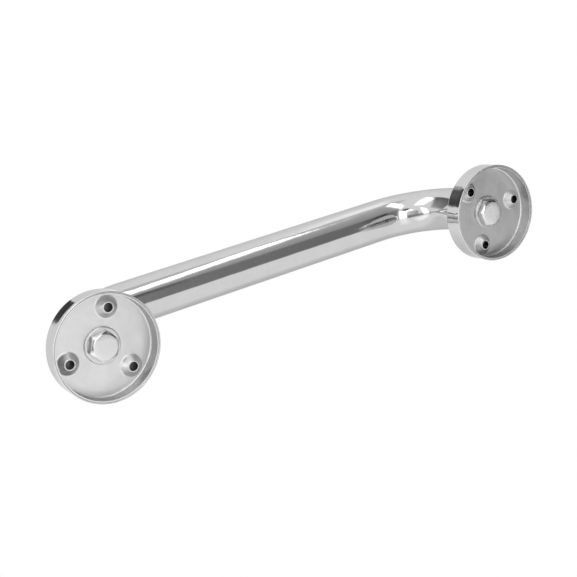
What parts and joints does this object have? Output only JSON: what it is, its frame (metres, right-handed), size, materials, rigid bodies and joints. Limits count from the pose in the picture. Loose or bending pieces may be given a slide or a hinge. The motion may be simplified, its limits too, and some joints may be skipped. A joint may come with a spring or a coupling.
{
  "type": "grab rail",
  "caption": "Polished steel grab rail: a round tube bent square at each end, standing on round flanges of a pressed base cup, a sliding cover cup and a central hex bolt.",
  "frame": {"origin": "on the mounting plane, midway between the two flange axes: the middle of the bottom of the object's box", "axes": "+Z away from the mounting surface, +X along the rail from the left flange to the right one, +Y across it"},
  "size_m": [0.305, 0.056, 0.0791],
  "materials": {
    "polished_tube": "polished",
    "polished_cover": "polished",
    "pressed_base": "satin",
    "fastener": "satin",
    "plug": "satin"
  },
  "bodies": {
    "rail": {"rail_tube": "polished_tube", "left_tube_plug": "plug", "right_tube_plug": "plug", "left_washer": "fastener", "right_washer": "fastener", "left_bolt": "fastener", "right_bolt": "fastener"},
    "left_cover": {"left_cover": "polished_cover"},
    "right_cover": {"right_cover": "polished_cover"},
    "left_base": {"left_base_cup": "pressed_base"},
    "right_base": {"right_base_cup": "pressed_base"}
  },
  "joints": [
    {"name": "left_cover_slide", "type": "slide", "parent": "rail", "child": "left_cover", "axis": [0, 0, 1], "range_m": [0, 0.016]},
    {"name": "right_cover_slide", "type": "slide", "parent": "rail", "child": "right_cover", "axis": [0, 0, 1], "range_m": [0, 0.016]},
    {"name": "left_base_turn", "type": "hinge", "parent": "rail", "child": "left_base", "pos_m": [-0.1245, 0, 0], "axis": [0, 0, 1], "continuous": true},
    {"name": "right_base_turn", "type": "hinge", "parent": "rail", "child": "right_base", "pos_m": [0.1245, 0, 0], "axis": [0, 0, 1], "continuous": true}
  ]
}
